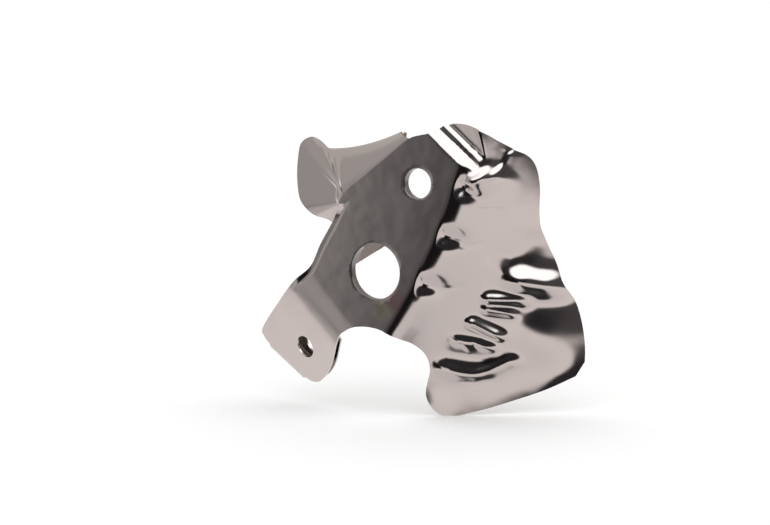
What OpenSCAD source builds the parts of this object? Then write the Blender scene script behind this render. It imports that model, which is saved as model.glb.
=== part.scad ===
// Exhaust heat shield, pressed and folded from one sheet.
// The flat panel faces -Y and stands upright. Origin: centre of the upper hole on the panel's front face.

/* [Sheet] */
// Thickness of the sheet
sheet_t = 0.8; // [0.6:0.1:1.2]

/* [Holes] */
// Diameter of the upper hole
upper_hole_d = 12.5; // [10:0.5:14]
// Diameter of the lower hole
lower_hole_d = 23.5; // [20:0.5:26]
// Distance of the lower hole to the left of the upper hole
lower_hole_x = 20.3; // [18:0.5:22]
// Distance of the lower hole below the upper hole
lower_hole_z = 37.6; // [35:0.5:40]
// Depth of the turned collars at both panel holes
collar_l = 3.5; // [2.5:0.5:5]
// Diameter of the fixing hole in the tab
tab_hole_d = 10; // [7:0.5:11]

/* [Tab] */
// Length of the tab from its bend
tab_l = 33; // [30:1:37]
// Width of the tab
tab_w = 34; // [31:1:37]
// Bend of the tab away from the panel, in degrees
tab_angle = 22.8; // [18:0.5:28]
// Clear gap between the tab and its folded-under layer
tab_gap = 4.4; // [3.5:0.1:5.5]
// Distance of the fixing hole from the tab's bend
tab_hole_l = 22.3; // [20:0.5:25]
// Length of the folded-under layer, as a share of the tab
tab_under_share = 0.86; // [0.7:0.02:0.95]

/* [Left lip] */
// Width of the lowered lip along the panel's left edge
lip_w = 2.6; // [2:0.2:3.4]
// Depth of the lip behind the panel
lip_step = 2.0; // [1.4:0.2:3]

/* [Web and ear] */
// Reach of the rolled web beyond the panel's upper left bend
web_reach = 14; // [12:0.5:16]
// Depth of the ear behind the panel at the web
ear_depth = 12.5; // [10:0.5:15]
// Reach of the ear beyond the panel's left edge
ear_w = 30; // [26:1:34]
// Height of the ear's visible part
ear_h = 34; // [30:1:38]
// Reach of the folded-back flap down behind the panel
flap_h = 44; // [40:1:50]

/* [Wing] */
// Width of the wing
wing_w = 46; // [42:1:50]
// Drop of the wing's lower end below the panel's lower edge
wing_drop = 38; // [34:1:42]
// Bend of the wing away from the panel, in degrees
wing_angle = 50; // [44:1:54]
// Width of the round bend between panel and wing
bend_w = 10; // [8:0.5:12]

/* [Lobe] */
// Height of the lobe over the panel's top corner
lobe_h = 15; // [12:1:18]
// Width of the steep facet under the lobe
facet_w = 2.9; // [2.4:0.1:3.6]
// Bend of the facet away from the panel, in degrees
facet_angle = 52; // [46:1:56]
// Slope of the lobe toward the front, above its facets
lobe_lean = 0.34; // [0.2:0.02:0.44]

/* [Bend darts] */
// Length of each dart
dart_l = 13; // [10:0.5:15]
// Width of each dart
dart_w = 8; // [6:0.2:9]
// Depth of each dart
dart_depth = 2.2; // [1.4:0.2:2.8]
// Spacing of the darts down the bend
dart_pitch = 20.5; // [18:0.5:23]
// Height of the first dart against the upper hole
dart_top = 0; // [-2:0.5:2]

/* [Pressed marks] */
// Height of the raised pad on the wing
pad_h = 4.8; // [3:0.2:6]
// Height of the pressed wrinkles on the wing, as a share of the photographed ones
wrinkle_share = 1; // [0.5:0.1:1.2]

/* [Hidden] */

// Fixed proportions of the outline, taken at these reference sizes
ref_tab_l = 35;
ref_tab_w = 34;
ref_wing_drop = 38;
ref_lobe_h = 15;
ref_ear = [30, 34];
panel_low = -65;

function mix(a, b, t) = a + (b - a) * t;
function ramp(s, r) = s < -r ? 0 : s > r ? s : (s + r) * (s + r) / (4 * r);
function rise(t) = t <= 0 ? 0 : t >= 1 ? 1 : t * t * (3 - 2 * t);
function smooth_max(a, b, k) = (a + b + sqrt((a - b) * (a - b) + k * k)) / 2;
function unit(v) = v / norm(v);

// Catmull-Rom curve through a list of points, s counts the points
function through(p, s) =
    let(n = len(p) - 1, i = min(floor(s), n - 1), t = s - i,
        a = p[max(i - 1, 0)], b = p[i], c = p[i + 1], d = p[min(i + 2, n)])
    0.5 * (2 * b + (c - a) * t + (2 * a - 5 * b + 4 * c - d) * t * t + (3 * b - a - 3 * c + d) * t * t * t);

// The bend between panel and wing leans left as it goes down
bend_curve = 0.0027;
function bend_x(z) = 21 + 0.336 * z - bend_curve * z * z;
bend_lean = 0.92;

// Tab directions in the panel plane: along its length and across it
tab_root = [-38.2, -65.4];
tab_mid = [-49, -56];
tab_along = [-0.70, -0.71];
tab_across = [0.775, -0.632];
function tab_pt(l, w) = tab_mid + l * tab_l / ref_tab_l * tab_along + w * tab_w / ref_tab_w * tab_across;
function tab_dist(x, z) = ([x, z] - tab_root) * tab_along;

function wing_pt(a, z) =
    let(zz = z < panel_low ? panel_low + (z - panel_low) * wing_drop / ref_wing_drop : z)
    [bend_x(max(zz, panel_low)) + a * wing_w, zz];
function lobe_pt(x, z) = [x, 9.7 + (z - 9.7) * lobe_h / ref_lobe_h];

// Corner where the web's bend starts on the left edge, and its far end at the top
web_a = [-36, -6];
web_b = [-4, 18.4];

// Upper and lower edge of the sheet, station by station from the tab's end to the wing's far corner
top_edge = [
    tab_pt(40.6, -11.5), tab_pt(39.8, -16), tab_pt(36, -18.8), tab_pt(14, -18.2), tab_pt(-1, -17.2),
    [-53.6, -37.5], [-48.5, -27.7], [-42.5, -18], web_a,
    [-26, 2], [-15, 10.4], web_b,
    [5.4, 20.9], lobe_pt(11.4, 24.2), lobe_pt(21, 24.4), lobe_pt(29.7, 21.2),
    wing_pt(0.225, 15.3), wing_pt(0.357, 9.8), wing_pt(0.444, -0.4),
    wing_pt(0.561, -18.9), wing_pt(0.776, -34.2), wing_pt(0.956, -44.5),
    wing_pt(1.262, -61.8), wing_pt(1.31, -78.5)
];
low_edge = [
    tab_pt(38, 10), tab_pt(36, 15.3), tab_pt(31, 18.8), tab_pt(19.5, 19), tab_pt(3.5, 14.8),
    [-36, -64.3], [-32, -62.3], [-28, -61.5], [-24.5, -61.3],
    [-21.5, -61.5], [-19, -61.9], [-17, -62.5],
    [-15, -63.4], [-13.2, -64.3], [-10.6, -65.6], [-6.8, -68.2],
    wing_pt(0.185, -73), wing_pt(0.195, -80), wing_pt(0.135, -92),
    wing_pt(0.24, -100.8), wing_pt(0.50, -99), wing_pt(0.78, -94.6), wing_pt(1.03, -90), wing_pt(1.25, -84.5)
];
// Stations where the ear's fan, the web and the web's far end start
fan_i = 7.7;
web_i = 8;
web_j = 11;

// Pressed wrinkles on the wing: start, end, half width and height toward the front
wrinkles = [
    [[29, -41], [45, -45], 5.6, 7.2],
    [[19.5, -49], [33, -50.5], 2.4, 3.0],
    [[18.3, -53.5], [28.5, -56], 1.9, 2.1],
    [[13.2, -58.6], [23, -66.3], 2.1, 2.8],
    [[7, -67.5], [20, -71], 2.0, 1.5],
    [[-1, -78.5], [12, -84], 3.0, 1.9],
    [[12, -84], [27, -76], 3.0, 1.9],
    [[31.5, 1.8], [36.5, 13.5], 1.6, 1.8],
    [[22, -0.5], [32.5, 4.5], 3.6, 4.0]
];

// Raised pad: a round swelling on the wing
pad_at = [38, -67];
pad_size = [13, 13.5];
function pad(x, z) =
    let(u = (x - pad_at[0]) / pad_size[0], v = (z - pad_at[1]) / pad_size[1]) pad_h * exp(-u * u - v * v);

// Height of one wrinkle: a round ridge that fades at both ends
function wrinkle(x, z, w) =
    let(d = w[1] - w[0], l = norm(d), e = d / l, p = [x, z] - w[0],
        t = p * e, s = p[1] * e[0] - p[0] * e[1])
    abs(s) > 3 * w[2] ? 0 : w[3] * exp(-pow(s / w[2], 2)) * rise(t / w[2] + 0.5) * rise((l - t) / w[2] + 0.5);

// Depth of one bend dart: a scoop with a blunt left end and a long tail on the wing
dart_way = [0.96, -0.28];
dart_lead = 4;
dart_blunt = 2.5;
function dart(x, z, k) =
    let(z0 = dart_top - k * dart_pitch, p = [x - bend_x(z0) + dart_lead, z - z0],
        t = p * dart_way, s = p[1] * dart_way[0] - p[0] * dart_way[1])
    abs(s) > 1.5 * dart_w ? 0
    : dart_depth * exp(-pow(2 * s / dart_w, 2)) * rise(t / dart_blunt) * rise((dart_l - t) / (0.6 * dart_l));

// Distance to the panel's left edge, and the lip that is lowered along it
function edge_dist(x, z, a, b) =
    let(d = b - a, t = max(0, min(1, ([x, z] - a) * d / (d * d)))) norm([x, z] - a - t * d);
lip_top = web_a[1] - 3.5;
lip_fade = 5;
lip_left = -62;
lip_right = -30;
function lip(x, z) =
    z > lip_top || x < lip_left || x > lip_right ? 0
    : let(d = min([for (i = [3 : 7]) edge_dist(x, z, top_edge[i], top_edge[i + 1])]))
      lip_step * rise((lip_w + 1 - d) / 1.6) * rise((x - lip_left) / 8) * rise((lip_top - z) / lip_fade);

// The wing turns back round the bend and curls on toward its far edge
wing_curl = 0.003;
wing_twist = 0.012;
wing_level = -45;
function wing_depth(x, z) =
    let(s = (x - bend_x(z)) * bend_lean)
    tan(wing_angle) * ramp(s, bend_w / 2) + wing_curl * pow(max(s - 12, 0), 2)
    + wing_twist * max(s - 6, 0) * (z - wing_level);

// The lobe: a steep facet, a level strip, a second facet and then a face that leans forward
facet_at = [19, 9.7];
facet_way = [0.632, 0.775];
strip_w = 2.7;
step_w = 1.3;
function lobe_depth(x, z) =
    let(st = ([x, z] - facet_at) * facet_way, s2 = st - facet_w)
    tan(facet_angle) * (ramp(st, 0.4) - ramp(s2, 0.3))
    + ramp(s2 - strip_w, 0.3) - (1 + lobe_lean) * ramp(s2 - strip_w - step_w, 0.5);

// Depth of the sheet's front face behind the panel plane
join_r = 0.8;
tab_bend_r = 8;
function depth(x, z) =
    let(s = (x - bend_x(z)) * bend_lean,
        base = smooth_max(wing_depth(x, z), lobe_depth(x, z), join_r) - join_r / 2,
        tab = tan(tab_angle) * ramp(tab_dist(x, z), tab_bend_r))
    base + tab + lip(x, z) - pad(x, z)
    + (s > -6 && s < 20 ? dart(x, z, 0) + dart(x, z, 1) + dart(x, z, 2) : 0)
    - (s > 0 ? wrinkle_share * vsum([for (w = wrinkles) wrinkle(x, z, w)]) : 0);
function vsum(v) = v * [for (i = v) 1];

function skin(p) = [p[0], depth(p[0], p[1]), p[1]];
slope_step = 0.05;
function back_dir(p) =
    unit([depth(p[0] - slope_step, p[1]) - depth(p[0] + slope_step, p[1]), 2 * slope_step,
          depth(p[0], p[1] - slope_step) - depth(p[0], p[1] + slope_step)]);

// Grid lines of the main sheet: columns by station, rows from the lower to the upper edge
function spread(marks, counts) = concat(
    [for (k = [0 : len(counts) - 1]) for (i = [0 : counts[k] - 1]) mix(marks[k], marks[k + 1], i / counts[k])],
    [marks[len(marks) - 1]]);
cols = spread([0, 1, 2, 4, 5, fan_i, web_i, web_j, 12, 15, 19, 23], [2, 2, 5, 2, 4, 12, 5, 2, 8, 9, 9]);
rows = spread([0, 0.19, 0.31, 0.42, 0.55, 0.63, 0.75, 0.92, 1], [3, 6, 3, 6, 3, 5, 4, 4]);
nc = len(cols);
nr = len(rows);
col_f = search(fan_i, cols)[0];
col_a = search(web_i, cols)[0];
col_b = search(web_j, cols)[0];

function sheet_pt(c, r) = mix(through(low_edge, cols[c]), through(top_edge, cols[c]), rows[r]);
plan = [for (c = [0 : nc - 1]) [for (r = [0 : nr - 1]) sheet_pt(c, r)]];
main_f = [for (c = [0 : nc - 1]) [for (r = [0 : nr - 1]) skin(plan[c][r])]];
main_n = [for (c = [0 : nc - 1]) [for (r = [0 : nr - 1]) back_dir(plan[c][r])]];

// Fold at the tab's end and the layer folded under it
fold_r = tab_gap / 2 + sheet_t;
fold_steps = 4;
under_cols = search(4, cols)[0];
end_edge = main_f[0][0] - main_f[0][nr - 1];
fold_out = unit(cross(main_n[0][0], end_edge));
fold_f = [for (k = [1 : fold_steps]) let(a = 180 * k / fold_steps) [for (r = [0 : nr - 1])
    main_f[0][r] + fold_r * ((1 - cos(a)) * main_n[0][r] + sin(a) * fold_out)]];
fold_n = [for (k = [1 : fold_steps]) let(a = 180 * k / fold_steps) [for (r = [0 : nr - 1])
    cos(a) * main_n[0][r] - sin(a) * fold_out]];
function under_plan(c, r) = mix(plan[0][r], plan[c][r], tab_under_share);
under_f = [for (c = [1 : under_cols]) [for (r = [0 : nr - 1])
    skin(under_plan(c, r)) + 2 * fold_r * back_dir(under_plan(c, r))]];
under_n = [for (c = [1 : under_cols]) [for (r = [0 : nr - 1]) -back_dir(under_plan(c, r))]];
fold_all_f = concat(fold_f, under_f);
fold_all_n = concat(fold_n, under_n);

// Flange: over the web it rolls back across a round crest and returns; at its left end it fans out flat
// round the corner, down to the ear's free edge
web_cols = col_b - col_a;
fan_cols = col_a - col_f;
flange_cols = fan_cols + web_cols;
flange_steps = 8;
crest_a = web_a + [-5.9, 1.36 * web_reach];
crest_b = web_b + [-7.6, 0.17 * web_reach];
crest_sag = 4.5;
ear_edge = concat([for (p = [
    [-45.5, -21.5], [-50, -18.6], [-57.6, -16.8], [-62.7, -13.2], [-65.2, -9], [-66.2, -0.9], [-65.7, 7.3],
    [-64.1, 13.8], [-59, 17], [-55.9, 16.7], [-52.4, 14.2], [-46.4, 13.2]
]) web_a + [(p[0] - web_a[0]) * ear_w / ref_ear[0], (p[1] - web_a[1]) * ear_h / ref_ear[1]]], [crest_a]);
ear_slope = 0.17;
ear_share = 0.88;
function ear_y(x) = ear_depth - ear_slope * (x - web_a[0]);

// Creases of the fan: place as a share of its columns, half width and height toward the front
creases = [[0.5833, 0.045, 0.7], [0.75, 0.045, 0.8], [0.9167, 0.045, 1.0]];
function crease(u, t) =
    vsum([for (c = creases) c[2] * exp(-pow((u - c[0]) / c[1], 2))]) * rise(t / 0.2) * rise((1 - t) / 0.6);

function bez(a, b, c, d, t) =
    pow(1 - t, 3) * a + 3 * t * pow(1 - t, 2) * b + 3 * t * t * (1 - t) * c + pow(t, 3) * d;
function flange_end(k) =
    let(u = k / fan_cols, i = (k - fan_cols) / web_cols)
    k < fan_cols ? through(ear_edge, u * (len(ear_edge) - 1))
    : mix(crest_a, crest_b, i) - [0, crest_sag * i * (1 - i)];
function flange_pt(k, t) =
    let(u = min(k / fan_cols, 1), a = plan[col_f + k][nr - 1], c = flange_end(k),
        roll = rise((u - 0.62) / 0.38),
        p = mix(a, c, mix(t, bez(0, 0.5, 1.4, 0.75, t), roll)),
        deep = mix(ear_share * ear_depth, ear_y(mix(a, c, 0.75)[0]), roll),
        fall = mix(0.42 * rise(t / 0.22) + 0.58 * t, bez(0, 0, 0.9, 1, t), roll))
    [p[0], deep * fall - crease(u, t), p[1]];
flange_f = [for (k = [0 : flange_cols]) [for (m = [0 : flange_steps]) flange_pt(k, m / flange_steps)]];

// Flap: the sheet goes on down behind the panel from the end of the web
flap_steps = 9;
flap_low_a = [-41, 5 - flap_h];
flap_low_b = [-17, 18.4 - flap_h];
function flap_pt(i, m) =
    let(a = flange_f[fan_cols + i][flange_steps], low = mix(flap_low_a, flap_low_b, i / web_cols),
        p = mix([a[0], a[2]], low, m / flap_steps))
    m == 0 ? a : [p[0], ear_y(p[0]), p[1]];
flap_f = [for (i = [0 : web_cols]) [for (m = [0 : flap_steps]) flap_pt(i, m)]];

// Normals of a grid of points, by its neighbours
function grid_n(g) = [for (i = [0 : len(g) - 1]) [for (j = [0 : len(g[0]) - 1])
    unit(cross(g[i][min(j + 1, len(g[0]) - 1)] - g[i][max(j - 1, 0)],
               g[min(i + 1, len(g) - 1)][j] - g[max(i - 1, 0)][j]))]];
flange_n = grid_n(flange_f);
flap_n = grid_n(flap_f);

// One list of points for the whole sheet, front face first and back face after it
function flat(g) = [for (a = g) for (b = a) b];
function past_first(g) = [for (a = g) [for (k = [1 : len(a) - 1]) a[k]]];
front = concat(flat(main_f), flat(fold_all_f), flat(past_first(flange_f)), flat(past_first(flap_f)));
normals = concat(flat(main_n), flat(fold_all_n), flat(past_first(flange_n)), flat(past_first(flap_n)));
total = len(front);
back = [for (i = [0 : total - 1]) front[i] + sheet_t * normals[i]];

// Index of each grid point in that list; neighbouring grids share their common edge
fold_at = nc * nr;
flange_at = fold_at + len(fold_all_f) * nr;
flap_at = flange_at + (flange_cols + 1) * flange_steps;
function main_i(c, r) = c * nr + r;
function fold_i(c, r) = c == 0 ? main_i(0, r) : fold_at + (c - 1) * nr + r;
function flange_i(k, m) = m == 0 ? main_i(col_f + k, nr - 1) : flange_at + k * flange_steps + m - 1;
function flap_i(i, m) = m == 0 ? flange_i(fan_cols + i, flange_steps) : flap_at + i * flap_steps + m - 1;

main_t = [for (c = [0 : nc - 1]) [for (r = [0 : nr - 1]) main_i(c, r)]];
fold_t = [for (c = [len(fold_all_f) : -1 : 0]) [for (r = [0 : nr - 1]) fold_i(c, r)]];
flange_t = [for (k = [0 : flange_cols]) [for (m = [0 : flange_steps]) flange_i(k, m)]];
flap_t = [for (i = [0 : web_cols]) [for (m = [0 : flap_steps]) flap_i(i, m)]];

function pane(t, i, j) =
    let(a = t[i][j], b = t[i + 1][j], c = t[i + 1][j + 1], d = t[i][j + 1])
    [[a, c, b], [a, d, c], [a + total, b + total, c + total], [a + total, c + total, d + total]];
function panes(t) = [for (i = [0 : len(t) - 2]) for (j = [0 : len(t[0]) - 2]) for (f = pane(t, i, j)) f];

// The sheet's free edge, once round
rim = concat(
    [for (c = [len(fold_all_f) : -1 : 1]) fold_i(c, 0)],
    [for (c = [0 : nc - 1]) main_i(c, 0)],
    [for (r = [1 : nr - 1]) main_i(nc - 1, r)],
    [for (c = [nc - 2 : -1 : col_b]) main_i(c, nr - 1)],
    [for (m = [1 : flange_steps]) flange_i(flange_cols, m)],
    [for (m = [1 : flap_steps]) flap_i(web_cols, m)],
    [for (i = [web_cols - 1 : -1 : 0]) flap_i(i, flap_steps)],
    [for (m = [flap_steps - 1 : -1 : 0]) flap_i(0, m)],
    [for (k = [fan_cols - 1 : -1 : 0]) flange_i(k, flange_steps)],
    [for (m = [flange_steps - 1 : -1 : 0]) flange_i(0, m)],
    [for (c = [col_f - 1 : -1 : 0]) main_i(c, nr - 1)],
    [for (c = [1 : len(fold_all_f)]) fold_i(c, nr - 1)],
    [for (r = [nr - 2 : -1 : 1]) fold_i(len(fold_all_f), r)]
);
rim_faces = [for (i = [0 : len(rim) - 1]) let(a = rim[i], b = rim[(i + 1) % len(rim)])
    for (f = [[a, b, b + total], [a, b + total, a + total]]) f];

module sheet() {
    polyhedron(points = concat(front, back),
               faces = concat(panes(main_t), panes(fold_t), panes(flange_t), panes(flap_t), rim_faces));
}

// A cylinder along Y that starts at y0 and goes back; a cut stands out of the sheet by cut_over at both ends
hole_sides = 96;
cut_over = 1;
module rod(x, z, d, y0, l) {
    translate([x, y0, z]) rotate([-90, 0, 0]) cylinder(d = d, h = l, $fn = hole_sides);
}

module panel_collar(x, z, d) {
    rod(x, z, d + 2 * sheet_t, sheet_t / 2, collar_l - sheet_t / 2);
}

// Fixing hole, square to the tab and through both of its layers
tab_hole_at = tab_root + tab_hole_l * tab_along + [-7.5, 7.2];
tab_slope = tan(tab_angle);
tab_dir = unit([tab_slope * tab_along[0], -1, tab_slope * tab_along[1]]);
module tab_hole() {
    translate(skin(tab_hole_at))
        rotate([0, acos(tab_dir[2]), atan2(tab_dir[1], tab_dir[0])])
            translate([0, 0, -2 * fold_r - 2 * cut_over])
                cylinder(d = tab_hole_d, h = 2 * fold_r + 4 * cut_over, $fn = hole_sides);
}

module heat_shield() {
    color([0.72, 0.70, 0.68])
    difference() {
        union() {
            sheet();
            panel_collar(0, 0, upper_hole_d);
            panel_collar(-lower_hole_x, -lower_hole_z, lower_hole_d);
        }
        rod(0, 0, upper_hole_d, -cut_over, collar_l + 2 * cut_over);
        rod(-lower_hole_x, -lower_hole_z, lower_hole_d, -cut_over, collar_l + 2 * cut_over);
        tab_hole();
    }
}

heat_shield();
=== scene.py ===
import math
import bpy
import numpy as np
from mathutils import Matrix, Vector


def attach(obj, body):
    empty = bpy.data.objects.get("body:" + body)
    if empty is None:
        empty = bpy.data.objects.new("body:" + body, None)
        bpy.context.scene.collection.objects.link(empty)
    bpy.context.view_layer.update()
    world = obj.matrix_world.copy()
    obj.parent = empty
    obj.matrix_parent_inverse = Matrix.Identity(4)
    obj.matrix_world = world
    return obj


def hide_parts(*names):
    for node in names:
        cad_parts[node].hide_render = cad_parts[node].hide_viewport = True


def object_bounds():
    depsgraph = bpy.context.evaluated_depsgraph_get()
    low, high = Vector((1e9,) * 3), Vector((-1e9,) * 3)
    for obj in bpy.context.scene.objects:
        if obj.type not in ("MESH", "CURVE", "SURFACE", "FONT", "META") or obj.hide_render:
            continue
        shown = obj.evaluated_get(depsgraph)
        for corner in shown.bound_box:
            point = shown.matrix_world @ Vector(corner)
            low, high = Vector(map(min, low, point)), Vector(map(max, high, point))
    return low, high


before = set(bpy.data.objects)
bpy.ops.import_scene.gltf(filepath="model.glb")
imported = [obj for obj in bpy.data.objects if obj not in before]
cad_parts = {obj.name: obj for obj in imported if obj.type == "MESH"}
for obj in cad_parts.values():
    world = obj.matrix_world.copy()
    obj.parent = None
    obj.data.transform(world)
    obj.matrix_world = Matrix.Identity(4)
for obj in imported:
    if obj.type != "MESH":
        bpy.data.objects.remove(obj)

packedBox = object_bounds()
mm = 0.001

# Exhaust heat shield, pressed and folded from one bright sheet. Sizes in mm, angles in degrees.
shield = {
    "sheet": 0.8,
    "upperHole": 12.5, "lowerHole": 23.5, "lowerHoleX": 20.3, "lowerHoleZ": 37.6,
    "collar": 3.5, "collarRound": 0.3,
    "tabHole": 10.0, "tabHoleReach": 22.3,
    "tabLength": 33.0, "tabWidth": 34.0, "tabAngle": 22.8, "tabGap": 4.4, "tabUnder": 0.86,
    "lipWidth": 2.6, "lipStep": 2.0,
    "webReach": 14.0, "earDepth": 12.5, "earWidth": 30.0, "earHeight": 34.0, "flapHeight": 44.0,
    "wingWidth": 46.0, "wingDrop": 38.0, "wingAngle": 50.0, "bendWidth": 10.0,
    "lobeHeight": 15.0, "facetWidth": 2.9, "facetAngle": 52.0, "lobeLean": 0.42,
    "dartLength": 13.0, "dartWidth": 8.0, "dartDepth": 2.2, "dartPitch": 20.5, "dartTop": 0.0,
    "padHeight": 4.8,
    "wrinkleShare": 1.0,
    "edgeRound": 0.12,
}
# The sizes at which the outline's points are given; other sizes stretch it
outlineAt = {
    "tabLength": 35, "tabWidth": 34, "wingDrop": 38, "lobeHeight": 15,
    "earWidth": 30, "earHeight": 34,
}

# How the pressed forms run: places and widths in mm, directions in x and z, and plain factors
form = {
    "bendLean": 0.92, "wingCurl": 0.003, "curlFrom": 12,
    "wingTwist": 0.012, "twistFrom": 6, "wingLevel": -45,
    "facetAt": (19, 9.7), "facetWay": (0.632, 0.775), "stripWidth": 2.7, "stepWidth": 1.3,
    "facetRound": 0.4, "stripRound": 0.3, "lobeRound": 0.5, "crossingRound": 0.3, "tabRound": 8,
    "dartLead": 4, "dartWay": (0.96, -0.28), "dartBlunt": 2.5, "dartTail": 0.6,
    "lipBelow": 3.5, "lipLeft": -62, "lipRight": -30, "lipFade": 5, "lipSide": 8, "lipRound": 1.6,
    "earLean": 0.17,
}

# Pressed marks on the wing, in panel coordinates. Each is a start, an end, a half width and a height,
# which is toward the front, so a height below zero is a groove or a dent.
wrinkles = [
    ((29, -41), (45, -45), 5.6, 7.2),
    ((19.5, -49), (33, -50.5), 2.4, 3.0),
    ((18.3, -53.5), (28.5, -56), 1.9, 2.1),
    ((13.2, -58.6), (23, -66.3), 2.1, 2.8),
    ((7, -67.5), (20, -71), 2.0, 1.5),
    ((-1, -78.5), (12, -84), 3.0, 1.9),
    ((12, -84), (27, -76), 3.0, 1.9),
    ((31.5, 1.8), (36.5, 13.5), 1.6, 1.8),
    ((22, -0.5), (32.5, 4.5), 3.6, 4.0),
]
# Round swelling on the wing: its middle and its two half widths
pad = ((38, -67), (13, 13.5))
# Finer marks in the same form, which the solid part doesn't have
fineMarks = [
    # Thin grooves in the tails of the three darts
    ((24.5, -8.6), (32, -8.7), 0.9, -0.25),
    ((16.5, -26.2), (23.4, -24.5), 0.9, -0.25),
    ((8.5, -44.2), (15, -42.9), 0.9, -0.25),
    # Creases where the lobe meets the wing
    ((37.6, 15), (32.2, 1.5), 0.9, 0.7),
    ((34.6, 14), (30, 3), 0.8, -0.4),
    ((25, -3), (32.5, 7.5), 2.6, 1.2),
    # Shallow dent on the upper wing, two thin grooves beside it and a low ridge further down
    ((27.5, -34), (38, -22), 4.6, -1.9),
    ((22.5, -31), (28.7, -29.5), 1.2, -0.15),
    ((28, -30), (28.7, -36), 1.2, -0.2),
    ((5.3, -65.2), (16, -68.6), 1.6, 0.5),
    # Rolled lower corners, two marks at the right and one at the left
    ((34, -95), (50, -85), 3.0, 0.6),
    ((39, -94), (54, -81), 6, 1.9),
    ((-9, -90), (-5, -104), 8, 1.8),
    # Fuller lower crease, a groove above it, a dent at the right edge, and a small groove where the
    # crease's two halves meet
    ((-1, -83), (13, -89), 4, 0.35),
    ((13, -89), (26, -82), 4, 0.35),
    ((2, -73), (16, -76.5), 3.5, -0.8),
    ((45, -66), (52, -76), 6, -0.8),
    ((8, -84.5), (17, -84.5), 2.8, -0.7),
    # Specks
    ((10, -69), (11, -72), 0.9, 0.4),
    ((13, -68.5), (14, -72), 0.9, -0.45),
    ((15.5, -69), (17.5, -71.5), 0.9, 0.4),
]

# Bare metal. Sizes in mm, and cloudScale in waves per metre.
steel = {
    "colour": (0.60, 0.56, 0.545),
    "roughness": 0.13, "roughnessRange": 0.08, "cloudScale": 60,
    "pressMarks": 0.08, "pressSize": 9.0, "pressHeight": 0.6,
    # Painted shade inside the collars, a darker colour: how deep its middle lies, and where it ends outside
    # the bore
    "collarShadeColour": (0.22, 0.205, 0.20), "collarMiddle": 1.9, "collarFrom": 0.35, "collarTo": 0.45,
    # Painted reflections of red and yellow-green surroundings: place, radius and colour
    "paintedReflections": [((-10.5, 0, -50), 7.0, (0.62, 0.42, 0.42)), ((-17, 0, -54), 6.0, (0.66, 0.62, 0.46))],
}

# The camera, and the tones that the metal mirrors. makeWorld says in which direction each of them lies.
studio = {
    "azimuth": 31.0, "elevation": 7.0, "distance": 900.0, "target": (-9.358, -10.217, -32.066),
    "lens": 102.63, "sensor": 36.0,
    "below": (0.97, 0.90, 0.88), "deepBelow": (0.80, 0.76, 0.75), "underneath": (0.03, 0.028, 0.03),
    "level": (0.085, 0.08, 0.082), "frontLevel": (0.03, 0.027, 0.03),
    "above": (1.8, 1.8, 1.8), "aboveFar": (0.62, 0.59, 0.56),
    "leftFloor": (0.60, 0.57, 0.56), "leftEdge": (0.44, 0.42, 0.415), "leftWall": (0.50, 0.47, 0.46),
    "besideCamera": (0.012, 0.010, 0.012),
    "white": (1.0, 1.0, 1.0),
    "floorColour": (0.99, 0.99, 0.99), "floorSide": 30.0,
}


# A share t of the way from a to b
def mix(a, b, t):
    return a + (b - a) * t


# 0 below -r, s above r, and a parabola between them
def ramp(s, r):
    return np.where(s < -r, 0.0, np.where(s > r, s, (s + r) ** 2 / (4 * r)))


# 0 to 1 with level ends: t squared times three minus two t
def rise(t):
    t = np.clip(t, 0, 1)
    return t * t * (3 - 2 * t)


# The greater of two heights: half of their sum and of the root of their squared difference plus k squared
def smoothMax(a, b, k):
    return (a + b + np.sqrt((a - b) ** 2 + k * k)) / 2


# A vector divided by its own length
def unit(v):
    return v / np.linalg.norm(v, axis=-1, keepdims=True)


# Catmull-Rom curve through the points, where s counts them
def through(points, s):
    p = np.asarray(points, float)
    i = np.minimum(np.floor(s).astype(int), len(p) - 2)
    t = (s - i)[:, None]
    a, b, c, d = p[np.maximum(i - 1, 0)], p[i], p[i + 1], p[np.minimum(i + 2, len(p) - 1)]
    square, cube = 2 * a - 5 * b + 4 * c - d, 3 * b - a - 3 * c + d
    return 0.5 * (2 * b + (c - a) * t + square * t ** 2 + cube * t ** 3)


# Cubic curve from a to d that b and c pull on
def bezier(a, b, c, d, t):
    return (1 - t) ** 3 * a + 3 * t * (1 - t) ** 2 * b + 3 * t * t * (1 - t) * c + t ** 3 * d


# Marks divided into equal steps, a count for each span
def spread(marks, counts):
    spans = [np.linspace(marks[k], marks[k + 1], n, endpoint=False) for k, n in enumerate(counts)]
    return np.concatenate(spans + [[marks[-1]]])


# Outline of the sheet in panel coordinates. Its points were read off the photograph through the camera.
tabRoot, tabMid = np.array([-38.2, -65.4]), np.array([-49.0, -56.0])
tabAlong, tabAcross = np.array([-0.70, -0.71]), np.array([0.775, -0.632])
panelLow = -65.0
lobeLow = 9.7
webA, webB = np.array([-36.0, -6.0]), np.array([-4.0, 18.4])

earEdge = np.array([
    (-45.5, -21.5), (-50.0, -18.6), (-57.6, -16.8), (-62.7, -13.2), (-65.2, -9.0),
    (-66.2, -0.9), (-65.7, 7.3), (-64.1, 13.8), (-59.0, 17.0), (-55.9, 16.7),
    (-52.4, 14.2), (-46.4, 13.2), (-41.9, 13.1)])
# Creases of the ear's fan: place as a share of its columns, half width and height
earCreases = [(0.5833, 0.045, 0.7), (0.75, 0.045, 0.8), (0.9167, 0.045, 1.0)]


# The bend between panel and wing leans left as it goes down, by a share of z and of its square
def bendX(z):
    return 21.0 + 0.336 * z - 0.0027 * z * z


# A point from the tab's middle: steps along and across it, stretched with its length and width
def tabPt(along, across):
    stepAlong = along * shield["tabLength"] / outlineAt["tabLength"] * tabAlong
    return tabMid + stepAlong + across * shield["tabWidth"] / outlineAt["tabWidth"] * tabAcross


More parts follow.
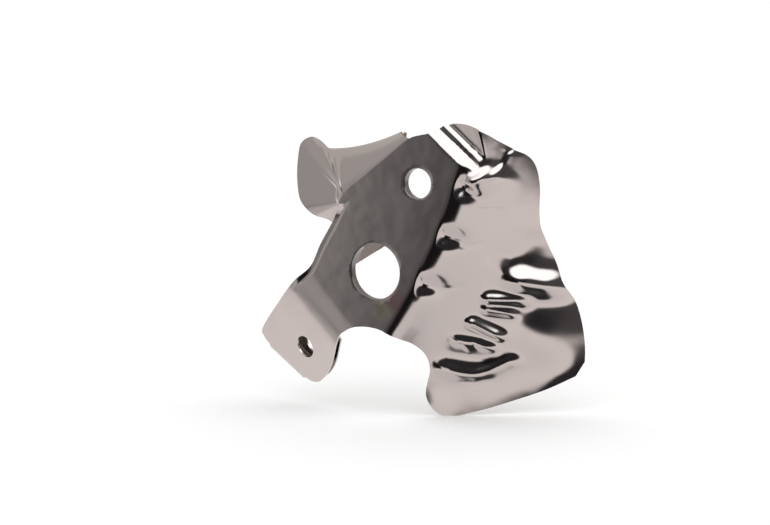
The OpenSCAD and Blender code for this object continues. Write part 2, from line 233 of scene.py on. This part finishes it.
# A point on the wing: a share of its width from the bend, and a height that stretches below the panel
def wingPt(share, z):
    low = panelLow + (z - panelLow) * shield["wingDrop"] / outlineAt["wingDrop"] if z < panelLow else z
    return np.array([bendX(max(low, panelLow)) + share * shield["wingWidth"], low])


# A point on the lobe, whose height stretches from its foot
def lobePt(x, z):
    return np.array([x, lobeLow + (z - lobeLow) * shield["lobeHeight"] / outlineAt["lobeHeight"]])


# Upper and lower edge of the sheet, from the tab's end to the wing's far corner
topEdge = np.array([
    tabPt(40.6, -11.5), tabPt(39.8, -16), tabPt(36, -18.8), tabPt(14, -18.2), tabPt(-1, -17.2),
    (-53.6, -37.5), (-48.5, -27.7), (-42.5, -18), webA,
    (-26, 2), (-15, 10.4), webB,
    (5.4, 20.9), lobePt(11.4, 24.2), lobePt(21, 24.4), lobePt(29.7, 21.2),
    wingPt(0.225, 15.3), wingPt(0.357, 9.8), wingPt(0.444, -0.4),
    wingPt(0.561, -18.9), wingPt(0.776, -34.2), wingPt(0.956, -44.5),
    wingPt(1.262, -61.8), wingPt(1.31, -78.5)])
lowEdge = np.array([
    tabPt(38, 10), tabPt(36, 15.3), tabPt(31, 18.8), tabPt(19.5, 19), tabPt(3.5, 14.8),
    (-36, -64.3), (-32, -62.3), (-28, -61.5), (-24.5, -61.3),
    (-21.5, -61.5), (-19, -61.9), (-17, -62.5),
    (-15, -63.4), (-13.2, -64.3), (-10.6, -65.6), (-6.8, -68.2),
    wingPt(0.185, -73), wingPt(0.195, -80), wingPt(0.135, -92),
    wingPt(0.24, -100.8), wingPt(0.50, -99.0), wingPt(0.78, -94.6),
    wingPt(1.03, -90), wingPt(1.25, -84.5)])
# Where along these points the tab's lower layer ends, the ear's fan and the web start, and the web ends
underTo, fanFrom, webFrom, webTo = 4, 7.7, 8, 11


# Round ridge along a line, a bell across it, fading at both ends
def ridge(x, z, mark):
    start, end, half, height = mark
    start, end = np.array(start, float), np.array(end, float)
    length = np.linalg.norm(end - start)
    ex, ez = (end - start) / length
    t = (x - start[0]) * ex + (z - start[1]) * ez
    s = (z - start[1]) * ex - (x - start[0]) * ez
    bell = height * np.exp(-(s / half) ** 2)
    return bell * rise(t / (2 * half) + 0.5) * rise((length - t) / (2 * half) + 0.5)


# Bend dart: a scoop with a blunt left end, a bell across and a long fading tail on the wing
def dart(x, z, k):
    z0 = shield["dartTop"] - k * shield["dartPitch"]
    dx, dz = x - bendX(z0) + form["dartLead"], z - z0
    wayX, wayZ = form["dartWay"]
    t, s = dx * wayX + dz * wayZ, dz * wayX - dx * wayZ
    length = shield["dartLength"]
    bell = shield["dartDepth"] * np.exp(-(2 * s / shield["dartWidth"]) ** 2)
    return bell * rise(t / form["dartBlunt"]) * rise((length - t) / (form["dartTail"] * length))


# Lip along the panel's left edge, lowered by a smooth step at a set distance from the edge
def lipDrop(x, z):
    far = np.full(np.shape(x), 1e3)
    for a, b in zip(topEdge[3:8], topEdge[4:9]):
        d = b - a
        t = np.clip(((x - a[0]) * d[0] + (z - a[1]) * d[1]) / (d @ d), 0, 1)
        far = np.minimum(far, np.hypot(x - a[0] - t * d[0], z - a[1] - t * d[1]))
    top, left = webA[1] - form["lipBelow"], form["lipLeft"]
    inZone = (z < top) & (x > left) & (x < form["lipRight"])
    drop = inZone * shield["lipStep"] * rise((shield["lipWidth"] + 1 - far) / form["lipRound"])
    return drop * rise((x - left) / form["lipSide"]) * rise((top - z) / form["lipFade"])


# The wing turns back round the bend, then curls and twists on by its distance from the bend
def wingDepth(s, z):
    turned = math.tan(math.radians(shield["wingAngle"])) * ramp(s, shield["bendWidth"] / 2)
    curl = form["wingCurl"] * np.maximum(s - form["curlFrom"], 0) ** 2
    return turned + curl + form["wingTwist"] * np.maximum(s - form["twistFrom"], 0) * (z - form["wingLevel"])


# The lobe: a steep facet, a level strip, a second facet and then a face that leans forward
def lobeDepth(x, z):
    (atX, atZ), (wayX, wayZ) = form["facetAt"], form["facetWay"]
    st = (x - atX) * wayX + (z - atZ) * wayZ
    st2 = st - shield["facetWidth"]
    strip = form["stripWidth"]
    steep = math.tan(math.radians(shield["facetAngle"])) * (
        ramp(st, form["facetRound"]) - ramp(st2, form["stripRound"]))
    leaning = (1 + shield["lobeLean"]) * ramp(st2 - (strip + form["stepWidth"]), form["lobeRound"])
    return steep + ramp(st2 - strip, form["stripRound"]) - leaning


# Depth of the front face behind the panel plane: the wing or the lobe, whichever is deeper,
# plus tab, lip and darts, less pad and pressed marks
def depthAt(x, z):
    s = (x - bendX(z)) * form["bendLean"]
    crossing = form["crossingRound"]
    tabFar = (x - tabRoot[0]) * tabAlong[0] + (z - tabRoot[1]) * tabAlong[1]
    y = smoothMax(wingDepth(s, z), lobeDepth(x, z), crossing) - crossing / 2
    y = y + math.tan(math.radians(shield["tabAngle"])) * ramp(tabFar, form["tabRound"])
    y = y + lipDrop(x, z) + ((s > -6) & (s < 20)) * sum(dart(x, z, k) for k in range(3))
    u, v = (x - pad[0][0]) / pad[1][0], (z - pad[0][1]) / pad[1][1]
    y = y - shield["padHeight"] * np.exp(-(u * u + v * v))
    return y - (s > 0) * shield["wrinkleShare"] * sum(ridge(x, z, w) for w in wrinkles + fineMarks)


# Points on the front face over a plan of panel coordinates
def skin(plan):
    return np.stack([plan[..., 0], depthAt(plan[..., 0], plan[..., 1]), plan[..., 1]], -1)


# Direction away from the front face, from the slope of the depth on both sides of each point
def backDir(plan):
    x, z, step = plan[..., 0], plan[..., 1], 0.05
    return unit(np.stack([depthAt(x - step, z) - depthAt(x + step, z), np.full(np.shape(x), 2 * step),
                          depthAt(x, z - step) - depthAt(x, z + step)], -1))


# Round opening in a grid of points: quads that reach into it are dropped, and the points around it
# move onto its circle. The 2 by 2 matrix turns panel coordinates into lengths in the hole's plane.
def openHole(plan, dropped, centre, radius, toHole):
    q = (plan - centre) @ toHole
    far = np.linalg.norm(q, axis=-1)
    inside = far < radius
    drop = inside[:-1, :-1] | inside[1:, :-1] | inside[1:, 1:] | inside[:-1, 1:]
    near = np.zeros(inside.shape, bool)
    kept = np.zeros(inside.shape, bool)
    for a, b in ((slice(None, -1), slice(None, -1)), (slice(1, None), slice(None, -1)),
                 (slice(1, None), slice(1, None)), (slice(None, -1), slice(1, None))):
        near[a, b] |= drop
        kept[a, b] |= ~drop
    edge = near & kept & ~inside
    plan[edge] = centre + (q[edge] * (radius / far[edge])[:, None]) @ np.linalg.inv(toHole)
    return dropped | drop, edge


# Depth of the ear and its flap, which lean forward from left to right
def earY(x):
    return shield["earDepth"] - form["earLean"] * (x - webA[0])


# Four corners of each cell in a grid of point numbers, without the dropped cells
def quadsOf(index, dropped=None):
    quads = np.stack([index[:-1, :-1], index[1:, :-1], index[1:, 1:], index[:-1, 1:]], -1)
    return quads.reshape(-1, 4) if dropped is None else quads[~dropped]


# Point numbers of a grid with this many columns, from its first number on
def numbered(first, count, columns):
    return first + np.arange(count * columns).reshape(-1, columns)


# Turned collar: a quarter round from the hole's edge to the bore, then straight back
def collarRings(rimPlan, centre, bore):
    rounding = shield["collarRound"]
    angle = np.arctan2(rimPlan[:, 1] - centre[1], rimPlan[:, 0] - centre[0])
    order = np.argsort(angle)
    angle = angle[order]
    a = np.radians(np.linspace(0, 90, 7)[1:])
    radius = np.concatenate([bore + rounding * (1 - np.sin(a)), np.full(4, bore)])
    y = np.concatenate([rounding * (1 - np.cos(a)), np.linspace(rounding, shield["collar"], 5)[1:]])
    ring = np.stack(np.broadcast_arrays(centre[0] + radius[:, None] * np.cos(angle), y[:, None],
                                        centre[1] + radius[:, None] * np.sin(angle)), -1)
    return ring, order


# The whole sheet as joined grids: main sheet, fold and layer under the tab, web, ear with flap, two collars
def sheetMesh():
    cols = spread([0, 1, 2, underTo, 5, fanFrom, webFrom, webTo, 12, 15, 19, 23],
                  [7, 7, 18, 6, 20, 48, 22, 8, 44, 50, 40])
    rows = spread([0, 0.19, 0.31, 0.42, 0.55, 0.63, 0.75, 0.92, 1], [10, 20, 12, 22, 14, 20, 16, 14])
    underCols, colF = int(np.searchsorted(cols, underTo)), int(np.searchsorted(cols, fanFrom))
    colA, colB = int(np.searchsorted(cols, webFrom)), int(np.searchsorted(cols, webTo))
    nc, nr = len(cols), len(rows)

    plan = mix(through(lowEdge, cols)[:, None], through(topEdge, cols)[:, None], rows[None, :, None])
    share = np.full((nc, 1, 1), shield["tabUnder"])
    under = mix(plan[:1], plan, share)[1:underCols + 1]
    flat = np.eye(2)
    steep = math.cos(math.radians(shield["tabAngle"]))
    alongTab = tabAlong / np.linalg.norm(tabAlong)
    tabPlane = np.array([[alongTab[0] / steep, -alongTab[1]], [alongTab[1] / steep, alongTab[0]]])
    tabHoleAt = tabRoot + shield["tabHoleReach"] * tabAlong + np.array([-7.5, 7.2])
    lowerAt = np.array([-shield["lowerHoleX"], -shield["lowerHoleZ"]])
    upperBore, lowerBore, tabBore = shield["upperHole"] / 2, shield["lowerHole"] / 2, shield["tabHole"] / 2
    rounding = shield["collarRound"]

    drop = np.zeros((nc - 1, nr - 1), bool)
    drop, rimUpper = openHole(plan, drop, np.zeros(2), upperBore + rounding, flat)
    drop, rimLower = openHole(plan, drop, lowerAt, lowerBore + rounding, flat)
    drop = openHole(plan, drop, tabHoleAt, tabBore, tabPlane)[0]
    dropUnder = openHole(under, np.zeros((underCols - 1, nr - 1), bool), tabHoleAt, tabBore, tabPlane)[0]

    # Fold at the tab's end: half a turn about the fold's radius, then the lower layer at twice that distance
    mainF, mainN = skin(plan), backDir(plan)
    foldR = shield["tabGap"] / 2 + shield["sheet"]
    foldOut = unit(np.cross(mainN[0, 0], mainF[0, 0] - mainF[0, -1]))
    turn = np.radians(np.linspace(0, 180, 15)[1:])[:, None, None]
    foldF = mainF[:1] + foldR * ((1 - np.cos(turn)) * mainN[:1] + np.sin(turn) * foldOut)
    underF = skin(under) + 2 * foldR * backDir(under)
    foldAll = np.concatenate([foldF, underF])

    # Flange: web columns roll back over the crest and return, and fan columns spread flat round the
    # corner to the ear's edge
    webSteps, webCols, fanCols = 26, colB - colA, colA - colF
    crestA, crestB = webA + [-5.9, 1.36 * shield["webReach"]], webB + [-7.6, 0.17 * shield["webReach"]]
    k = np.arange(fanCols + webCols + 1)
    u = np.minimum(k / fanCols, 1)
    i = np.maximum(k - fanCols, 0)[:, None] / webCols
    stretch = np.array([shield[size] / outlineAt[size] for size in ("earWidth", "earHeight")])
    outline = webA + (earEdge - webA) * stretch
    outline[-1] = crestA
    crest = mix(crestA, crestB, i) - 4.5 * i * (1 - i) * np.array([0, 1])
    crest[:fanCols] = through(outline, u[:fanCols] * (len(outline) - 1))
    start, crest = plan[colF:colB + 1, -1][:, None], crest[:, None]
    t = np.linspace(0, 1, webSteps + 1)[None, :, None]
    roll = rise((u - 0.62) / 0.38)[:, None, None]
    webPlan = mix(start, crest, mix(t, bezier(0, 0.5, 1.4, 0.75, t), roll))
    deep = mix(0.88 * shield["earDepth"], earY(mix(start, crest, 0.75)[..., :1]), roll)
    webY = deep * mix(0.42 * rise(t / 0.22) + 0.58 * t, bezier(0, 0, 0.9, 1, t), roll)
    for at, half, high in earCreases:
        bell = high * np.exp(-((u[:, None, None] - at) / half) ** 2)
        webY = webY - bell * rise(t / 0.2) * rise((1 - t) / 0.6)
    webF = np.concatenate([webPlan[..., :1], webY, webPlan[..., 1:]], -1)

    # Flap: the flange goes on down behind the panel, in the ear's plane, to a slanted free edge
    flapSteps = 44
    lowA, lowB = np.array([-41, 5 - shield["flapHeight"]]), np.array([-17, 18.4 - shield["flapHeight"]])
    flapLow = mix(lowA, lowB, i[fanCols:])
    m = np.linspace(0, 1, flapSteps + 1)[None, :, None]
    flapPlan = mix(webF[fanCols:, -1:][..., [0, 2]], flapLow[:, None], m)
    flapF = np.stack([flapPlan[..., 0], earY(flapPlan[..., 0]), flapPlan[..., 1]], -1)

    # One list of points; joined grids share their common edge
    parts = [part.reshape(-1, 3) for part in (mainF, foldAll, webF[:, 1:], flapF[:, 1:])]
    starts = np.cumsum([0] + [len(p) for p in parts])
    mainI = numbered(0, nc, nr)
    foldI = numbered(starts[1], len(foldAll), nr)
    webI = np.concatenate([mainI[colF:colB + 1, -1:], numbered(starts[2], len(k), webSteps)], 1)
    flapI = np.concatenate([webI[fanCols:, -1:], numbered(starts[3], webCols + 1, flapSteps)], 1)
    underI = foldI[len(foldF):]
    bendI = np.concatenate([foldI[:len(foldF) + 1][::-1], mainI[:1]])
    quads = [quadsOf(mainI, drop), quadsOf(bendI), quadsOf(underI[::-1], dropUnder[::-1]),
             quadsOf(webI), quadsOf(flapI)]

    count = starts[-1]
    for rim, centre, bore in ((rimUpper, np.zeros(2), upperBore), (rimLower, lowerAt, lowerBore)):
        ring, order = collarRings(plan[rim], centre, bore)
        ringI = np.concatenate([mainI[rim][order][None], numbered(count, *ring.shape[:2])])
        ringI = np.concatenate([ringI, ringI[:, :1]], 1)
        quads.append(quadsOf(ringI.T))
        parts.append(ring.reshape(-1, 3))
        count += ring.shape[0] * ring.shape[1]
    return np.concatenate(parts), np.concatenate(quads)


def newMesh(name, points, quads):
    used, flatIndex = np.unique(quads, return_inverse=True)
    mesh = bpy.data.meshes.new(name)
    mesh.from_pydata(points[used] * mm, [], flatIndex.reshape(quads.shape))
    mesh.validate()
    mesh.shade_smooth()
    piece = bpy.data.objects.new(name, mesh)
    bpy.context.collection.objects.link(piece)
    return piece


def makeSteel():
    metal = bpy.data.materials.new("bright_sheet")
    metal.use_nodes = True
    nodes, links = metal.node_tree.nodes, metal.node_tree.links
    bsdf = nodes["Principled BSDF"]
    bsdf.inputs["Metallic"].default_value = 1.0
    place = nodes.new("ShaderNodeTexCoord")

    # 1 within the inner radius of a point, 0 beyond the outer one
    def near(point, inner, outer):
        far = nodes.new("ShaderNodeVectorMath")
        far.operation = "DISTANCE"
        far.inputs[1].default_value = [c * mm for c in point]
        links.new(place.outputs["Object"], far.inputs[0])
        soft = nodes.new("ShaderNodeMapRange")
        soft.interpolation_type = "SMOOTHSTEP"
        soft.inputs["From Min"].default_value = outer * mm
        soft.inputs["From Max"].default_value = inner * mm
        links.new(far.outputs["Value"], soft.inputs["Value"])
        return soft.outputs["Result"]

    # Noise through the object, as waves per metre and number of finer layers
    def noise(scale, detail):
        waves = nodes.new("ShaderNodeTexNoise")
        waves.inputs["Scale"].default_value = scale
        waves.inputs["Detail"].default_value = detail
        links.new(place.outputs["Object"], waves.inputs["Vector"])
        return waves.outputs["Fac"]

    # Bare metal, with painted red and yellow-green reflections at places, and painted shade darkening the
    # collars
    colour = None
    # The red and yellow-green patches are painted reflections, laid into the base colour
    layers = [(near(point, 0.1 * size, size), paintedTone) for point, size, paintedTone in steel["paintedReflections"]]
    lowerX, lowerZ = -shield["lowerHoleX"], -shield["lowerHoleZ"]
    # Painted shade: the metal inside each collar's bore is darkened
    for x, z, bore in ((0, 0, shield["upperHole"]), (lowerX, lowerZ, shield["lowerHole"])):
        ends = bore / 2 + steel["collarFrom"], bore / 2 + steel["collarTo"]
        layers.append((near((x, steel["collarMiddle"], z), *ends), steel["collarShadeColour"]))
    for factor, paintedTone in layers:
        node = nodes.new("ShaderNodeMix")
        node.data_type = "RGBA"
        links.new(factor, node.inputs["Factor"])
        if colour is None:
            node.inputs[6].default_value = (*steel["colour"], 1)
        else:
            links.new(colour, node.inputs[6])
        node.inputs[7].default_value = (*paintedTone, 1)
        colour = node.outputs[2]
    links.new(colour, bsdf.inputs["Base Color"])

    # Clouds of slightly duller and brighter metal
    rough = nodes.new("ShaderNodeMapRange")
    rough.inputs["From Min"].default_value = 0.3
    rough.inputs["From Max"].default_value = 0.7
    rough.inputs["To Min"].default_value = steel["roughness"] - steel["roughnessRange"] / 2
    rough.inputs["To Max"].default_value = steel["roughness"] + steel["roughnessRange"] / 2
    links.new(noise(steel["cloudScale"], 4), rough.inputs["Value"])
    links.new(rough.outputs["Result"], bsdf.inputs["Roughness"])

    # Faint unevenness from the press
    bump = nodes.new("ShaderNodeBump")
    bump.inputs["Strength"].default_value = steel["pressMarks"]
    bump.inputs["Distance"].default_value = steel["pressHeight"] * mm
    links.new(noise(1000 / steel["pressSize"], 1), bump.inputs["Height"])
    links.new(bump.outputs["Normal"], bsdf.inputs["Normal"])
    return metal


# Camera axes from its azimuth and elevation round the object
def cameraAxes():
    az, el = math.radians(studio["azimuth"]), math.radians(studio["elevation"])
    toCamera = np.array([math.sin(az) * math.cos(el), -math.cos(az) * math.cos(el), math.sin(el)])
    right = np.array([math.cos(az), math.sin(az), 0])
    return right, np.cross(toCamera, right), toCamera


# The studio as one world of soft tones, each laid over the ones before it
def makeWorld():
    world = bpy.data.worlds.new("studio")
    bpy.context.scene.world = world
    world.use_nodes = True
    nodes, links = world.node_tree.nodes, world.node_tree.links
    nodes.clear()
    place = nodes.new("ShaderNodeTexCoord")

    # How far a ray points along a direction given as right, up and towards the camera
    def toward(*parts):
        dot = nodes.new("ShaderNodeVectorMath")
        dot.operation = "DOT_PRODUCT"
        dot.inputs[1].default_value = sum(p * axis for p, axis in zip(parts, cameraAxes()))
        links.new(place.outputs["Generated"], dot.inputs[0])
        return dot.outputs["Value"]

    # A soft edge: 0 where the value is at the first limit, 1 at the second
    def step(value, low, high):
        node = nodes.new("ShaderNodeMapRange")
        node.interpolation_type = "SMOOTHSTEP"
        node.inputs["From Min"].default_value = low
        node.inputs["From Max"].default_value = high
        links.new(value, node.inputs["Value"])
        return node.outputs["Result"]

    # The first tone where the factor is 0, the second where it is 1
    def blend(factor, first, second):
        node = nodes.new("ShaderNodeMix")
        node.data_type = "RGBA"
        links.new(factor, node.inputs["Factor"])
        for socket, value in ((node.inputs[6], first), (node.inputs[7], second)):
            if isinstance(value, tuple):
                socket.default_value = (*value, 1)
            else:
                links.new(value, socket)
        return node.outputs[2]

    # Where two soft edges overlap, as their product
    def both(one, two):
        node = nodes.new("ShaderNodeMath")
        node.operation = "MULTIPLY"
        links.new(one, node.inputs[0])
        links.new(two, node.inputs[1])
        return node.outputs[0]

    # Floor, dark walls and ceiling
    right, up, front = toward(1, 0, 0), toward(0, 1, 0), toward(0, 0, 1)
    floorTone = blend(step(up, -1.0, -0.55), studio["deepBelow"], studio["below"])
    wallTone = blend(step(front, 0.55, 0.78), studio["level"], studio["frontLevel"])
    colour = blend(step(up, -0.52, -0.42), floorTone, wallTone)
    ceiling = blend(step(toward(0.45, 0, 0.9), 0.3, 0.45), studio["aboveFar"], studio["above"])
    colour = blend(step(up, 0.12, 0.30), colour, ceiling)
    # Left side: a pale floor that reaches higher up, dimmer in front of the object, and a mid grey wall
    leftTone = blend(step(front, -0.12, -0.26), studio["leftFloor"], studio["below"])
    colour = blend(both(step(right, -0.72, -0.82), step(up, -0.36, -0.42)), colour, leftTone)
    colour = blend(both(step(right, -0.868, -0.905), step(up, -0.42, -0.34)), colour, studio["leftEdge"])
    colour = blend(both(step(right, -0.66, -0.82), step(up, 0.04, 0.2)), colour, studio["leftWall"])
    # A dark place beside the camera
    beside = toward(-0.35, -0.47, 0.81)
    colour = blend(both(step(beside, 0.84, 0.91), step(up, -0.75, -0.68)), colour, studio["besideCamera"])
    # Pale backdrop behind the object, less bright above, and a dark place straight below
    backdrop = blend(step(up, -0.3, 0.0), studio["white"], studio["aboveFar"])
    colour = blend(step(front, -0.25, -0.5), colour, backdrop)
    colour = blend(both(step(up, -0.87, -0.92), step(right, 0.1, 0.25)), colour, studio["underneath"])
    # Plain white to the camera and as the light on the floor; the tones above show in the metal
    rays = nodes.new("ShaderNodeLightPath")
    for ray in ("Is Camera Ray", "Is Diffuse Ray"):
        colour = blend(rays.outputs[ray], colour, studio["white"])
    back = nodes.new("ShaderNodeBackground")
    links.new(colour, back.inputs["Color"])
    out = nodes.new("ShaderNodeOutputWorld")
    links.new(back.outputs["Background"], out.inputs["Surface"])


# A white floor under the object, hidden from the metal, which mirrors the world's tones instead
def makeFloor(low):
    mesh = bpy.data.meshes.new("floor")
    side = studio["floorSide"]
    corners = [(-side, -side, low), (side, -side, low), (side, side, low), (-side, side, low)]
    mesh.from_pydata(corners, [], [(0, 1, 2, 3)])
    floor = bpy.data.objects.new("floor", mesh)
    bpy.context.collection.objects.link(floor)
    paint = bpy.data.materials.new("floor_paint")
    paint.use_nodes = True
    bsdf = paint.node_tree.nodes["Principled BSDF"]
    bsdf.inputs["Base Color"].default_value = (*studio["floorColour"], 1)
    bsdf.inputs["Roughness"].default_value = 0.9
    bsdf.inputs["Specular IOR Level"].default_value = 0.0
    mesh.materials.append(paint)
    floor.visible_glossy = False


def makeCamera():
    toCamera = cameraAxes()[2]
    data = bpy.data.cameras.new("camera")
    data.lens, data.sensor_width, data.clip_end = studio["lens"], studio["sensor"], 100
    camera = bpy.data.objects.new("camera", data)
    camera.location = np.array(studio["target"]) * mm + toCamera * studio["distance"] * mm
    azimuth, elevation = math.radians(studio["azimuth"]), math.radians(studio["elevation"])
    camera.rotation_euler = (math.pi / 2 - elevation, 0, azimuth)
    bpy.context.collection.objects.link(camera)
    bpy.context.scene.camera = camera


points, quads = sheetMesh()
piece = newMesh("shield_sheet", points, quads)
solid = piece.modifiers.new("sheet", "SOLIDIFY")
solid.thickness = shield["sheet"] * mm
solid.offset = -1
bevel = piece.modifiers.new("edge", "BEVEL")
bevel.width = shield["edgeRound"] * mm
bevel.segments = 2
bevel.limit_method = "ANGLE"
bevel.angle_limit = math.radians(50)
bevel.harden_normals = True
piece.data.materials.append(makeSteel())
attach(piece, "root")
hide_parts("heat_shield")
print("sheet:", len(piece.data.polygons), "quads")

makeWorld()
makeFloor(packedBox[0][2])
makeCamera()
bpy.context.scene.view_settings.view_transform = "Standard"
print("studio and camera ready")
